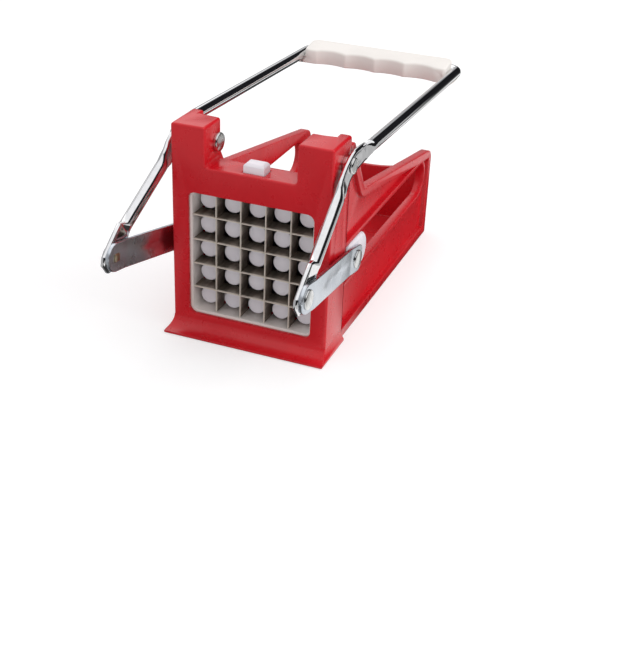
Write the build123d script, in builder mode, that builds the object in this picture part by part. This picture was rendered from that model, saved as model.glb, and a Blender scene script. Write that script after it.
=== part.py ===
from build123d import *
from math import atan2, cos, degrees, hypot, radians, sin, sqrt
import os

# French fry cutter. Millimetres. The origin is the middle of the front sill's lower edge:
# +X to the right of the blade window, +Y back along the tray, +Z up.

# ---- driving dimensions ----
# front frame
frame_width = 92.0
frame_depth = 17.0
front_wall = 2.6
beam_top = 99.5
beam_wall = 3.2
ear_width = 20.0
ear_depth = 19.0
ear_top = 121.5
rib_width = 7.0
rib_depth = 25.5
window_border = 9.5
window_bottom = 11.2
window_radius = 4.0
edge_radius = 1.2
corner_radius = 2.0

# flared foot
flare_height = 7.6
flare_forward = 9.5
flare_side = 2.0
flare_lip = 1.4

# tray
body_length = 190.0
post_wall = 6.3
rim_inset = 0.5
panel_inset = 3.4
rim = 5.5
gusset_below_ear = 6.0
gusset_rear = 33.0
knee_behind_gusset = 20.8
knee_below_gusset = 33.7
rear_height = 59.0
rear_corner_radius = 8.0
floor_bottom = 4.0
floor_thickness = 3.0
rear_wall = 3.0
scoop_end = 49.5
scoop_middle = 41.5
ring_radius = 7.0
ring_height = 0.6
ring_wall = 1.2
wall_root = 7.0
foot_radius = 1.0
knee_radius = 9.0
gusset_radius = 3.0

# side slots
slot_z = 46.0
slot_height = 21.0
slot_rear = 178.0
lip = 3.0

# cartridge
cartridge_gap = 0.2
cartridge_above_floor = 1.2
cartridge_below_beam = 0.4
cartridge_radius = 1.5
cartridge_depth = 14.0
tunnel_rim = 1.2
cells = 5
blade_thickness = 0.5
blade_front = 4.5
blade_depth = 11.0
blade_edge = 1.2
blade_hold = 2.5
blade_slack = 0.1
top_slit_share = 0.62
top_slit_height = 4.0
top_slit_depth = 9.0
top_slit_wall = 0.8

# release tab
tab_width = 12.0
tab_depth = 8.5
tab_proud = 5.0
tab_chamfer = 1.4
tongue_width = 18.0
tongue_depth = 11.0
tongue_thickness = 1.8
tongue_proud = 0.2
tab_slack = 0.5
tab_travel = 2.2

# pusher
peg_gap = 4.3
peg_face = 11.0
plate_gap = 0.5
plate_thickness = 3.0
plate_margin = 0.3
plate_radius = 2.0
carriage_slack = 0.8
carriage_wall = 3.0
carriage_flange = 6.0
carriage_flange_wall = 2.4
carriage_below_beam = 10.3

# turning clip
hub_diameter = 21.0
hub_thickness = 4.0
boss_diameter = 6.6
fit = 0.1
arm_reach = 25.0
arm_tip = 0.5
arm_rise = 4.0
arm_width = 8.0
paddle_reach = 29.0
paddle_width = 16.0
paddle_depth = 9.0
hook_size = 5.5
hook_head = 2.4
hook_gap = 0.3
clip_gap = 0.1
hub_ring = 2.0
hub_ring_height = 1.6
hub_recess = 0.6
paddle_aside = 1.5
paddle_wall = 2.2

# sliders
slider_front_gap = 0.8
slider_behind_pin = 23.0
slider_height = 19.8
slider_recess = 0.4
flange_height = 25.0
flange_rear = 28.0
flange_thickness = 2.2
flange_radius = 7.0
wall_gap = 0.4
foot_reach = 9.0
foot_height = 31.0
foot_thickness = 2.6
web_reach = 11.0

# lever linkage
pivot_y = 14.8
pivot_below_ear = 12.1
crank_length = 78.4
crank_angle = 216.8
link_length = 87.4
link_width = 15.6
link_thickness = 2.0
link_rib = 0.7
link_rib_width = 3.6
link_flat = 24.0
link_at_slider = 0.7
plate_side = 0.1
arm_gap = 2.3
left_splay = 6.8

# handle
tube_diameter = 6.6
tube_offset = 2.2
paddle_thickness = 2.8
handle_rear = 215.0
tube_above_pivot = 3.8
arm_slope = -2.0
handle_corner = 8.0
pivot_paddle_width = 13.0
crank_paddle_width = 13.6
crank_paddle_length = 16.0
crank_paddle_end = 1.6
squash_length = 9.0
half_squashed_thick = 0.75
half_squashed_wide = 0.78
sunk = 0.2

# grip
grip_depth = 21.0
grip_above = 4.7
grip_above_rear = 8.0
grip_below = 4.7
grip_margin = 1.5
scallop_pitch = 20.3
scallop_depth = 2.6
scallops = 4
grip_front_radius = 3.0

# fasteners
bolt_diameter = 5.0
bolt_head = 10.5
bolt_head_height = 3.0
rivet_diameter = 4.6
rivet_head = 9.0
rivet_head_height = 1.5
rivet_tail = 0.8
running = 0.05
spacer_wall = 2.0
screw_diameter = 3.0
screw_head = 7.0
screw_head_height = 2.0
screw_cross = 1.0

# ---- derived places ----
half = frame_width / 2
chamber_width = frame_width - 2 * post_wall
chamber_half = chamber_width / 2
rim_half = half - rim_inset
panel_half = half - panel_inset
gusset_top = ear_top - gusset_below_ear
knee_y = gusset_rear + knee_behind_gusset
knee_z = gusset_top - knee_below_gusset
window = frame_width - 2 * window_border
window_middle = window_bottom + window / 2
cell_pitch = window / cells
peg_diameter = cell_pitch - peg_gap
beam_underside = beam_top - beam_wall
floor_top = floor_bottom + floor_thickness
slot_radius = slot_height / 2
cartridge_front = front_wall + cartridge_gap
cartridge_rear = cartridge_front + cartridge_depth
cartridge_half = chamber_half - cartridge_gap
cartridge_bottom = floor_top + cartridge_above_floor
cartridge_top = beam_underside - cartridge_below_beam
tunnel = window - 2 * tunnel_rim
plate_front = cartridge_rear + plate_gap
plate_back = plate_front + plate_thickness
plate_size = (cells - 1) * cell_pitch + peg_diameter + 2 * plate_margin
carriage_top = beam_underside - carriage_below_beam
carriage_back = plate_back + carriage_wall
carriage_half = chamber_half - carriage_slack
carriage_bottom = floor_top + carriage_slack
pivot_z = ear_top - pivot_below_ear
crank_y = pivot_y + crank_length * cos(radians(crank_angle))
crank_z = pivot_z + crank_length * sin(radians(crank_angle))
slider_y = crank_y + sqrt(link_length**2 - (crank_z - slot_z) ** 2)
link_angle = degrees(atan2(slot_z - crank_z, slider_y - crank_y))
slider_front = rib_depth + slider_front_gap
slider_rear = slider_y + slider_behind_pin
arm_plane = half + arm_gap + paddle_thickness / 2
tube_plane = arm_plane + tube_offset
crank_planes = {"left": arm_plane + left_splay, "right": arm_plane}
link_slider_face = half + link_at_slider
slider_face = link_slider_face - slider_recess
tube_radius = tube_diameter / 2
tube_start_z = pivot_z + tube_above_pivot
rear_z = tube_start_z + (handle_rear - pivot_y) * sin(radians(arm_slope)) / cos(radians(arm_slope))
blade_places = [(i - (cells - 2) / 2) * cell_pitch for i in range(cells - 1)]
peg_places = [(i - (cells - 1) / 2) * cell_pitch for i in range(cells)]
sides = {"left": -1, "right": 1}

os.makedirs("parts", exist_ok=True)


def save(piece, name):
    """Label a finished piece and write its STEP file."""
    piece.label = name
    export_step(piece, f"parts/{name}.step")


def along_x(x, y, z):
    """Plane across the X axis, at a pivot: its sketches lie in YZ, its normal is +X."""
    return Plane(origin=(x, y, z), x_dir=(0, 1, 0), z_dir=(1, 0, 0))


def along_y(y, x=0.0, z=0.0):
    """Plane across the Y axis: its sketches lie in XZ, its normal is -Y."""
    return Plane(origin=(x, y, z), x_dir=(1, 0, 0), z_dir=(0, -1, 0))


def wall_outline(grow=0.0):
    """Side wall seen from the side, grown outward or, below zero, inward."""
    points = [
        (frame_depth - wall_root, 0),
        (body_length, 0),
        (body_length, rear_height),
        (knee_y, knee_z),
        (gusset_rear, gusset_top),
        (frame_depth - wall_root, gusset_top),
    ]
    radii = [0, foot_radius, rear_corner_radius, knee_radius, gusset_radius, 0]
    with BuildSketch(mode=Mode.PRIVATE) as outline:
        with BuildLine():
            FilletPolyline(*points, radius=radii, close=True)
        make_face()
        if grow:
            offset(amount=grow, kind=Kind.INTERSECTION)
    return outline.sketch


def slot_outline(radius):
    """Slot seen from the side, from inside the post to its round rear end."""
    front = frame_depth + radius
    rear = slot_rear - radius
    with BuildSketch(mode=Mode.PRIVATE) as outline:
        with Locations(((front + rear) / 2, slot_z)):
            SlotCenterToCenter(rear - front, 2 * radius)
    return outline.sketch


def domed_head(plane, radius, height):
    """Rivet or bolt head that stands on a plane, its dome made of short cones."""
    profile = Plane(origin=plane.origin, x_dir=plane.x_dir, z_dir=-plane.y_dir)
    outline = [(0, 0), (1, 0), (1, 0.3), (0.8, 0.66), (0.45, 0.92), (0, 1)]
    with BuildPart(mode=Mode.PRIVATE) as head:
        with BuildSketch(profile):
            Polygon(*[(radius * out, height * up) for out, up in outline], align=None)
        revolve(axis=Axis(plane.origin, plane.z_dir))
    return head.part


# ---- flared foot of the front frame ----
with BuildPart() as flare:
    with BuildSketch(Plane.YZ):
        with BuildLine():
            Polyline((-flare_forward, flare_lip), (-flare_forward, 0), (rib_depth, 0), (rib_depth, flare_height))
            Line((rib_depth, flare_height), (0, flare_height))
            ThreePointArc(
                (0, flare_height),
                (-0.37 * flare_forward, 0.43 * flare_height),
                (-flare_forward, flare_lip),
            )
        make_face()
    extrude(amount=half + flare_side, both=True)
    with BuildSketch(along_y(-flare_forward)):
        with BuildLine():
            Polyline(
                (half, flare_height),
                (-half, flare_height),
            )
            ThreePointArc(
                (-half, flare_height),
                (-half - 0.3 * flare_side, 0.5 * flare_height),
                (-half - flare_side, flare_lip),
            )
            Polyline(
                (-half - flare_side, flare_lip),
                (-half - flare_side, 0),
                (half + flare_side, 0),
                (half + flare_side, flare_lip),
            )
            ThreePointArc(
                (half + flare_side, flare_lip),
                (half + 0.3 * flare_side, 0.5 * flare_height),
                (half, flare_height),
            )
        make_face()
    extrude(amount=-(flare_forward + rib_depth), mode=Mode.INTERSECT)

# ---- body: one moulding ----
ear_middle = half - ear_width / 2
with BuildPart() as body:
    # front frame, as wide as the posts, with the two ears
    with BuildSketch(along_y(0)):
        with Locations((0, beam_top / 2)):
            Rectangle(frame_width, beam_top)
        for side in sides.values():
            with Locations((side * ear_middle, ear_top / 2)):
                Rectangle(ear_width, ear_top)
        fillet(vertices().group_by(Axis.Y)[-1], corner_radius * 0.8)
        fillet(vertices().filter_by_position(Axis.Y, beam_top - 1, beam_top + 1), corner_radius)
    extrude(amount=-frame_depth)
    fillet(faces().sort_by(Axis.Y)[0].outer_wire().edges().filter_by_position(Axis.Z, 1, ear_top), edge_radius)
    # the ears are a little deeper than the beam, and their outer ribs run down to the foot
    for side in sides.values():
        with BuildSketch(along_y(frame_depth - 1)):
            with Locations((side * ear_middle, (beam_underside + ear_top) / 2)):
                RectangleRounded(ear_width, ear_top - beam_underside, corner_radius * 0.8)
        extrude(amount=-(ear_depth - frame_depth + 1))
        with BuildSketch(along_y(edge_radius * 2)):
            with Locations((side * (half - rib_width / 2), ear_top / 2)):
                Rectangle(rib_width, ear_top)
            fillet(vertices().group_by(Axis.Y)[-1], corner_radius * 0.8)
        extrude(amount=-(rib_depth - edge_radius * 2))
    add(flare.part)
    # side walls, recessed outside within a raised rim
    for side in sides.values():
        with BuildSketch(Plane.YZ.offset(side * chamber_half)):
            add(wall_outline())
        extrude(amount=side * (panel_half - chamber_half))
        with BuildSketch(Plane.YZ.offset(side * panel_half)):
            add(wall_outline())
            add(wall_outline(-rim), mode=Mode.SUBTRACT)
            add(slot_outline(slot_radius + lip))
        extrude(amount=side * (rim_half - panel_half))
    # floor and scooped rear wall
    with BuildSketch(Plane.XY.offset(floor_bottom)):
        with Locations((0, (frame_depth + body_length) / 2 - 1)):
            Rectangle(chamber_width + 1, body_length - frame_depth)
    extrude(amount=floor_thickness)
    with BuildSketch(along_y(body_length - rear_wall)):
        with BuildLine():
            Polyline(
                (-panel_half, scoop_end),
                (-panel_half, 0),
                (panel_half, 0),
                (panel_half, scoop_end),
            )
            ThreePointArc((panel_half, scoop_end), (0, scoop_middle), (-panel_half, scoop_end))
        make_face()
    extrude(amount=-rear_wall)
    # moulded ring on the floor
    with BuildSketch(Plane.XY.offset(floor_top)):
        with Locations((0, knee_y + ring_radius * 2)):
            Circle(ring_radius)
            Circle(ring_radius - ring_wall, mode=Mode.SUBTRACT)
    extrude(amount=ring_height)
    # slots through the walls
    for side in sides.values():
        with BuildSketch(Plane.YZ.offset(side * (chamber_half - 1))):
            with BuildLine():
                rear = slot_rear - slot_radius - lip
                Line((rib_depth, slot_z - slot_radius), (rear, slot_z - slot_radius))
                ThreePointArc(
                    (rear, slot_z - slot_radius),
                    (rear + slot_radius, slot_z),
                    (rear, slot_z + slot_radius),
                )
                Polyline(
                    (rear, slot_z + slot_radius),
                    (rib_depth, slot_z + slot_radius),
                    (rib_depth, slot_z - slot_radius),
                )
            make_face()
        extrude(amount=side * (rim_half - chamber_half + 2), mode=Mode.SUBTRACT)
    # pocket for the cartridge, open to the tray, and the window in front of it
    with BuildSketch(along_y(front_wall)):
        with Locations((0, (floor_top + beam_underside) / 2)):
            Rectangle(chamber_width, beam_underside - floor_top)
    extrude(amount=-(rib_depth - front_wall), mode=Mode.SUBTRACT)
    with BuildSketch(along_y(-1)):
        with Locations((0, window_middle)):
            RectangleRounded(window, window, window_radius)
    extrude(amount=-(front_wall + 2), mode=Mode.SUBTRACT)
    # hole for the release tab in the crossbeam
    with BuildSketch(Plane.XY.offset(beam_underside - 1)):
        with Locations((0, frame_depth / 2)):
            Rectangle(tab_width + 2 * tab_slack, tab_depth + 2 * tab_slack)
    extrude(amount=beam_wall + 2, mode=Mode.SUBTRACT)
    # bolt holes through the ears
    with BuildSketch(along_x(-half - 1, pivot_y, pivot_z)):
        Circle(bolt_diameter / 2 + running)
    extrude(amount=frame_width + 2, mode=Mode.SUBTRACT)
save(body.part, "body")

# ---- blade cartridge ----
with BuildPart() as blade_frame:
    with BuildSketch(along_y(cartridge_front)):
        with Locations((0, (cartridge_bottom + cartridge_top) / 2)):
            RectangleRounded(2 * cartridge_half, cartridge_top - cartridge_bottom, cartridge_radius)
        with Locations((0, window_middle)):
            RectangleRounded(tunnel, tunnel, window_radius - tunnel_rim, mode=Mode.SUBTRACT)
    extrude(amount=-cartridge_depth)
    # grooves that hold the ends of the blades
    groove = blade_thickness + 2 * blade_slack
    span = tunnel + 2 * (blade_hold + blade_slack)
    with BuildSketch(along_y(blade_front - blade_slack)):
        for place in blade_places:
            with Locations((place, window_middle)):
                Rectangle(groove, span)
            with Locations((0, window_middle + place)):
                Rectangle(span, groove)
    extrude(amount=-(cartridge_rear - blade_front + 1), mode=Mode.SUBTRACT)
    # slits in the rear of the top bar
    with BuildSketch(along_y(cartridge_rear + 1)):
        slit_z = window_middle + tunnel / 2 + blade_hold + top_slit_height / 2 + top_slit_wall
        for place in peg_places:
            with Locations((place, slit_z)):
                Rectangle(top_slit_share * cell_pitch, top_slit_height)
    extrude(amount=top_slit_depth + 1, mode=Mode.SUBTRACT)
    # pocket for the tongue of the release tab
    with BuildSketch(Plane.XY.offset(cartridge_top + 1)):
        with Locations((0, frame_depth / 2)):
            Rectangle(tongue_width + 2 * tab_slack, tongue_depth + 2 * tab_slack)
    extrude(amount=-(1 + tongue_thickness + tab_travel + tongue_proud), mode=Mode.SUBTRACT)
save(blade_frame.part, "blade_frame")


def blade_strip(length, notch_from, notch_to):
    """Steel strip along local X, its sharp edge at the rear, notched where it crosses others."""
    rear = blade_front + blade_depth
    with BuildPart(mode=Mode.PRIVATE) as strip:
        with BuildSketch(Plane.YZ.offset(-length / 2)):
            Polygon(
                (blade_front, blade_thickness / 2),
                (blade_front, -blade_thickness / 2),
                (rear - blade_edge, -blade_thickness / 2),
                (rear, 0),
                (rear - blade_edge, blade_thickness / 2),
                align=None,
            )
        extrude(amount=length)
        for place in blade_places:
            with Locations((place, (notch_from + notch_to) / 2, 0)):
                Box(blade_thickness + 2 * blade_slack, notch_to - notch_from, 2, mode=Mode.SUBTRACT)
    return strip.part


# ---- blades: the uprights are notched from the rear, the level ones from the front ----
strip_length = tunnel + 2 * blade_hold
notch_middle = blade_front + blade_depth / 2
upright = blade_strip(strip_length, notch_middle - blade_slack, blade_front + blade_depth + 1)
level = blade_strip(strip_length, blade_front - 1, notch_middle + blade_slack)
for number, place in enumerate(blade_places, start=1):
    with BuildPart() as blade:
        with Locations(Location((place, 0, window_middle), (0, 90, 0))):
            add(upright)
    save(blade.part, f"vertical_blade_{number}")
    with BuildPart() as blade:
        with Locations((0, 0, window_middle + place)):
            add(level)
    save(blade.part, f"horizontal_blade_{number}")

# ---- release tab on its springy tongue ----
with BuildPart() as cartridge_latch:
    with BuildSketch(Plane.XY.offset(cartridge_top - tongue_thickness + tongue_proud)):
        with Locations((0, frame_depth / 2)):
            Rectangle(tongue_width, tongue_depth)
    extrude(amount=tongue_thickness)
    with BuildSketch(Plane.XY.offset(cartridge_top)):
        with Locations((0, frame_depth / 2)):
            Rectangle(tab_width, tab_depth)
    extrude(amount=beam_top + tab_proud - cartridge_top)
    chamfer(faces().sort_by(Axis.Z)[-1].edges(), tab_chamfer)
save(cartridge_latch.part, "cartridge_latch")

# ---- push plate with its pegs and the two hooks that hold it to the carriage ----
hook_places = [(arm_reach + arm_tip, -arm_rise, 1), (-arm_reach - arm_tip, arm_rise, -1)]
hook_rear = carriage_back + hub_thickness + hook_gap
with BuildPart() as push_plate:
    with BuildSketch(along_y(plate_front)):
        with Locations((0, window_middle)):
            RectangleRounded(plate_size, plate_size, plate_radius)
    extrude(amount=-plate_thickness)
    with BuildSketch(along_y(plate_front)):
        with Locations(*[(x, window_middle + z) for x in peg_places for z in peg_places]):
            Circle(peg_diameter / 2)
    extrude(amount=plate_front - peg_face)
    for x, z, up in hook_places:
        with BuildSketch(along_y(plate_back, x, slot_z + z)):
            Rectangle(hook_size, hook_size)
        extrude(amount=-(hook_rear - plate_back))
        with BuildSketch(along_y(hook_rear, x, slot_z + z + up * hook_size / 4)):
            Rectangle(hook_size, hook_size * 1.5)
        extrude(amount=-hook_head)
save(push_plate.part, "push_plate")

# ---- carriage behind the push plate ----
with BuildPart() as pusher_carriage:
    carriage_height = carriage_top - carriage_bottom
    with BuildSketch(along_y(plate_back)):
        with Locations((0, carriage_bottom + carriage_height / 2)):
            Rectangle(2 * carriage_half, carriage_height)
        with Locations(*[(x, slot_z + z) for x, z, up in hook_places]):
            Rectangle(hook_size + 4 * fit, hook_size + 4 * fit, mode=Mode.SUBTRACT)
    extrude(amount=-carriage_wall)
    for edge in (carriage_bottom + carriage_flange_wall / 2, carriage_top - carriage_flange_wall / 2):
        with BuildSketch(along_y(carriage_back)):
            with Locations((0, edge)):
                Rectangle(2 * carriage_half, carriage_flange_wall)
        extrude(amount=-carriage_flange)
    with BuildSketch(along_y(carriage_back)):
        with Locations((0, slot_z)):
            Circle(boss_diameter / 2)
    extrude(amount=-hub_thickness * 0.6)
    with BuildSketch(along_y(carriage_back + hub_thickness)):
        with Locations((0, slot_z)):
            Circle(screw_diameter / 2 + running)
    extrude(amount=hub_thickness + carriage_wall, mode=Mode.SUBTRACT)
save(pusher_carriage.part, "pusher_carriage")

# ---- sliders in the side slots: a block through the wall, a flange inside it, a foot on the carriage ----
for name, side in sides.items():
    inner = chamber_half - wall_gap
    with BuildPart() as slider:
        with BuildSketch(along_x(side * (inner - flange_thickness), 0, 0)):
            flange_front = carriage_back
            flange_end = slider_y + flange_rear
            with Locations(((flange_front + flange_end) / 2, slot_z)):
                Rectangle(flange_end - flange_front, flange_height)
            fillet(vertices().group_by(Axis.X)[-1], flange_radius)
        extrude(amount=side * flange_thickness)
        with BuildSketch(along_x(side * inner, (slider_front + slider_rear) / 2, slot_z)):
            SlotOverall(slider_rear - slider_front, slider_height)
        extrude(amount=side * (slider_face - inner))
        outer_edges = faces().sort_by(Axis.X)[-1 if side > 0 else 0].edges()
        chamfer(outer_edges, edge_radius)
        with BuildSketch(along_y(carriage_back)):
            Polygon(
                (side * inner, slot_z - flange_height / 2),
                (side * (inner - foot_reach), slot_z - flange_height / 2 + foot_thickness),
                (side * (inner - foot_reach), slot_z + flange_height / 2),
                (side * (inner - foot_reach / 2), slot_z + foot_height),
                (side * inner, slot_z + foot_height),
                align=None,
            )
        extrude(amount=-foot_thickness)
        with BuildSketch(Plane.XY.offset(slot_z - foot_thickness / 2)):
            Polygon(
                (side * (inner - flange_thickness), carriage_back + foot_thickness / 2),
                (side * (inner - flange_thickness), carriage_back + foot_thickness + web_reach),
                (side * (inner - foot_reach + 1), carriage_back + foot_thickness / 2),
                align=None,
            )
        extrude(amount=foot_thickness)
    save(slider.part, f"slider_wing_{name}")

# ---- turning clip on the boss of the carriage ----
lock_face = carriage_back + clip_gap
clip_thickness = hub_thickness - 2 * clip_gap
with BuildPart() as plate_lock:
    with BuildSketch(along_y(lock_face, 0, slot_z)):
        Circle(hub_diameter / 2)
        for turn in (1, -1):
            with Locations(Location((turn * arm_reach / 2, turn * arm_rise, 0))):
                SlotOverall(arm_reach + arm_width, arm_width)
        with Locations((paddle_aside, paddle_reach / 2)):
            Rectangle(paddle_width * 0.6, paddle_reach)
        with Locations((paddle_aside, paddle_reach - paddle_width / 4)):
            Ellipse(paddle_width / 2, paddle_width / 2 + 1)
        Circle(boss_diameter / 2 + fit, mode=Mode.SUBTRACT)
    extrude(amount=-clip_thickness)
    with BuildSketch(along_y(lock_face + clip_thickness, 0, slot_z)):
        Circle(hub_diameter / 2 - hub_ring)
        Circle(screw_head / 2 + hub_recess, mode=Mode.SUBTRACT)
    extrude(amount=-hub_ring_height)
    with BuildSketch(along_y(lock_face, 0, slot_z)):
        with Locations((paddle_aside, paddle_reach - paddle_width / 4)):
            Ellipse(paddle_width / 2, paddle_width / 2 + 1)
            Ellipse(paddle_width / 2 - paddle_wall, paddle_width / 2 + 1 - paddle_wall, mode=Mode.SUBTRACT)
        with Locations((paddle_aside, paddle_reach - paddle_width)):
            Rectangle(paddle_width + 2, paddle_width, mode=Mode.SUBTRACT)
    extrude(amount=-paddle_depth)
save(plate_lock.part, "plate_lock")

with BuildPart() as lock_screw:
    seat = lock_face + clip_thickness + clip_gap
    with BuildSketch(along_y(seat, 0, slot_z)):
        Circle(screw_head / 2)
    extrude(amount=-screw_head_height)
    fillet(faces().sort_by(Axis.Y)[-1].edges(), 0.4 * screw_head_height)
    with BuildSketch(along_y(seat, 0, slot_z)):
        Circle(screw_diameter / 2)
    extrude(amount=seat - plate_back - plate_gap)
    with BuildSketch(along_y(seat + screw_head_height, 0, slot_z)):
        Rectangle(screw_head * 0.62, screw_cross)
        Rectangle(screw_cross, screw_head * 0.62)
    extrude(amount=screw_head_height / 2, mode=Mode.SUBTRACT)
save(lock_screw.part, "lock_screw")

# ---- handle: a bent tube, squashed flat at both pivots of each arm ----
crank_turn = atan2(crank_z - pivot_z, crank_y - pivot_y)
crank_way = (cos(crank_turn), sin(crank_turn))
arm_way = (cos(radians(arm_slope)), sin(radians(arm_slope)))


def from_crank(distance):
    """Point on the lower arm, measured from the crank pin towards the pivot."""
    return crank_y - crank_way[0] * distance, crank_z - crank_way[1] * distance


def on_arm(distance):
    """Point on the tube's line behind the pivot."""
    return pivot_y + arm_way[0] * distance, tube_start_z + arm_way[1] * distance


def tapered(way, sections):
    """Solid through ellipses that all face along one direction in YZ."""
    with BuildPart(mode=Mode.PRIVATE) as solid:
        for x, place, half_thick, half_wide in sections:
            with BuildSketch(Plane(origin=(x, *place), x_dir=(1, 0, 0), z_dir=(0, *way))):
                Ellipse(half_thick, half_wide)
        loft(ruled=True)
    return solid.part


# the lower arm, from its flat at the crank pin to its flat at the pivot
knee_from_crank = crank_length - pivot_paddle_width
flat_thick = paddle_thickness / 2 - sunk
half_squashed = squash_length / 2
middle_thick = half_squashed_thick * tube_radius
crank_flat_wide = crank_paddle_width / 2 - sunk
pivot_flat_wide = pivot_paddle_width / 2 - sunk
arm_profile = [
    (crank_paddle_length - 1, flat_thick, crank_flat_wide),
    (crank_paddle_length, flat_thick, crank_flat_wide),
    (crank_paddle_length + half_squashed, middle_thick, half_squashed_wide * crank_flat_wide),
    (crank_paddle_length + squash_length, tube_radius, tube_radius),
    (knee_from_crank - squash_length, tube_radius, tube_radius),
    (knee_from_crank - half_squashed, middle_thick, half_squashed_wide * pivot_flat_wide),
    (knee_from_crank, flat_thick, pivot_flat_wide),
]
tube_begin = pivot_paddle_width + squash_length
with BuildPart() as handle_tube:
    # the U behind the pivots
    with BuildLine() as u_path:
        FilletPolyline(
            (tube_plane, *on_arm(tube_begin)),
            (tube_plane, handle_rear, rear_z),
            (-tube_plane, handle_rear, rear_z),
            (-tube_plane, *on_arm(tube_begin)),
            radius=handle_corner,
        )
    with BuildSketch(Plane(origin=u_path.line @ 0, x_dir=(1, 0, 0), z_dir=u_path.line % 0)):
        Circle(tube_radius)
    sweep(path=u_path.line)
    for name, side in sides.items():
        flat_x = side * arm_plane
        crank_x = side * crank_planes[name]
        # flat at the pivot, bent down towards the crank
        knee = from_crank(knee_from_crank)
        with BuildSketch(along_x(flat_x - paddle_thickness / 2, 0, 0)):
            rear = on_arm(pivot_paddle_width)
            bend = on_arm(-pivot_paddle_width * 0.4)
            bend = (bend[0], bend[1] - tube_above_pivot / 2)
            for begin, end in ((rear, bend), (bend, knee)):
                length = hypot(end[0] - begin[0], end[1] - begin[1])
                turn = degrees(atan2(end[1] - begin[1], end[0] - begin[0]))
                middle = ((begin[0] + end[0]) / 2, (begin[1] + end[1]) / 2)
                with Locations(Location((middle[0], middle[1], 0), (0, 0, turn))):
                    SlotCenterToCenter(length, pivot_paddle_width)
            with Locations((pivot_y, pivot_z)):
                Circle(pivot_paddle_width / 2)
        extrude(amount=paddle_thickness)
        sections = [
            (side * tube_plane, on_arm(tube_begin), tube_radius, tube_radius),
            (
                side * (tube_plane + arm_plane) / 2,
                on_arm(tube_begin - half_squashed),
                middle_thick,
                half_squashed_wide * pivot_flat_wide,
            ),
            (flat_x, on_arm(pivot_paddle_width), flat_thick, pivot_flat_wide),
        ]
        add(tapered((-arm_way[0], -arm_way[1]), sections))
        # flat at the crank pin, a little longer than it is wide
        with BuildSketch(along_x(crank_x - paddle_thickness / 2, 0, 0)):
            middle = from_crank((crank_paddle_length - crank_paddle_end) / 2)
            turn = degrees(crank_turn)
            with Locations(Location((middle[0], middle[1], 0), (0, 0, turn))):
                SlotCenterToCenter(crank_paddle_length + crank_paddle_end, crank_paddle_width)
        extrude(amount=paddle_thickness)
        sections = []
        for distance, thick, wide in arm_profile:
            share = (distance - crank_paddle_length) / (knee_from_crank - crank_paddle_length)
            x = crank_x + (flat_x - crank_x) * min(max(share, 0), 1)
            sections.append((x, from_crank(distance), thick, wide))
        add(tapered((-crank_way[0], -crank_way[1]), sections))
        # pivot and crank holes
        with BuildSketch(along_x(flat_x - paddle_thickness, pivot_y, pivot_z)):
            Circle(bolt_diameter / 2 + running)
        extrude(amount=paddle_thickness * 2, mode=Mode.SUBTRACT)
        with BuildSketch(along_x(crank_x - paddle_thickness, crank_y, crank_z)):
            Circle(rivet_diameter / 2 + running / 2)
        extrude(amount=paddle_thickness * 2, mode=Mode.SUBTRACT)
save(handle_tube.part, "handle_tube")

# ---- grip: scalloped plate inside the U, with a lip that runs under the tube ----
grip_plane = Plane(origin=(0, handle_rear, rear_z), x_dir=(1, 0, 0), z_dir=(0, -arm_way[1], arm_way[0]))
grip_side = Plane(origin=(0, handle_rear, rear_z), x_dir=(0, *arm_way), z_dir=(1, 0, 0))
channel_front = (handle_rear - 2 * grip_depth * arm_way[0], rear_z - 2 * grip_depth * arm_way[1])


def grip_outline(margin):
    """Plan of the grip: round rear corners, scalloped front edge, measured from the tube's line."""
    wide = tube_plane + margin
    scallop_radius = ((scallop_pitch / 2) ** 2 + scallop_depth**2) / (2 * scallop_depth)
    with BuildSketch(mode=Mode.PRIVATE) as outline:
        with Locations((0, (margin - grip_depth) / 2)):
            Rectangle(2 * wide, grip_depth + margin)
        fillet(vertices().group_by(Axis.Y)[-1], handle_corner + margin)
        fillet(vertices().group_by(Axis.Y)[0], grip_front_radius)
        for number in range(scallops):
            place = (number - (scallops - 1) / 2) * scallop_pitch
            with Locations((place, -grip_depth - scallop_radius + scallop_depth)):
                Circle(scallop_radius, mode=Mode.SUBTRACT)
        cusps = vertices().filter_by_position(Axis.Y, -grip_depth - 0.01, -grip_depth + 0.01)
        cusps = cusps.filter_by_position(Axis.X, -1.1 * scallop_pitch, 1.1 * scallop_pitch)
        fillet(cusps, grip_front_radius)
    return outline.sketch


with BuildPart() as handle_grip:
    with BuildSketch(grip_plane.offset(-grip_below)):
        add(grip_outline(grip_margin))
    extrude(amount=grip_below)
    with BuildSketch(grip_plane):
        add(grip_outline(-tube_radius))
    extrude(amount=grip_above_rear)
    # the top falls towards the scallops
    with BuildSketch(grip_side):
        Polygon(
            (-grip_depth, grip_above),
            (-tube_radius, grip_above_rear),
            (0, grip_above_rear + grip_above),
            (-grip_depth, grip_above_rear + grip_above),
            align=None,
        )
    extrude(amount=tube_plane, both=True, mode=Mode.SUBTRACT)
    with BuildLine() as channel:
        FilletPolyline(
            (tube_plane, *channel_front),
            (tube_plane, handle_rear, rear_z),
            (-tube_plane, handle_rear, rear_z),
            (-tube_plane, *channel_front),
            radius=handle_corner,
        )
    with BuildSketch(Plane(origin=channel.line @ 0, x_dir=(1, 0, 0), z_dir=channel.line % 0)):
        Circle(tube_radius + running)
    sweep(path=channel.line, mode=Mode.SUBTRACT)
save(handle_grip.part, "handle_grip")

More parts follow.
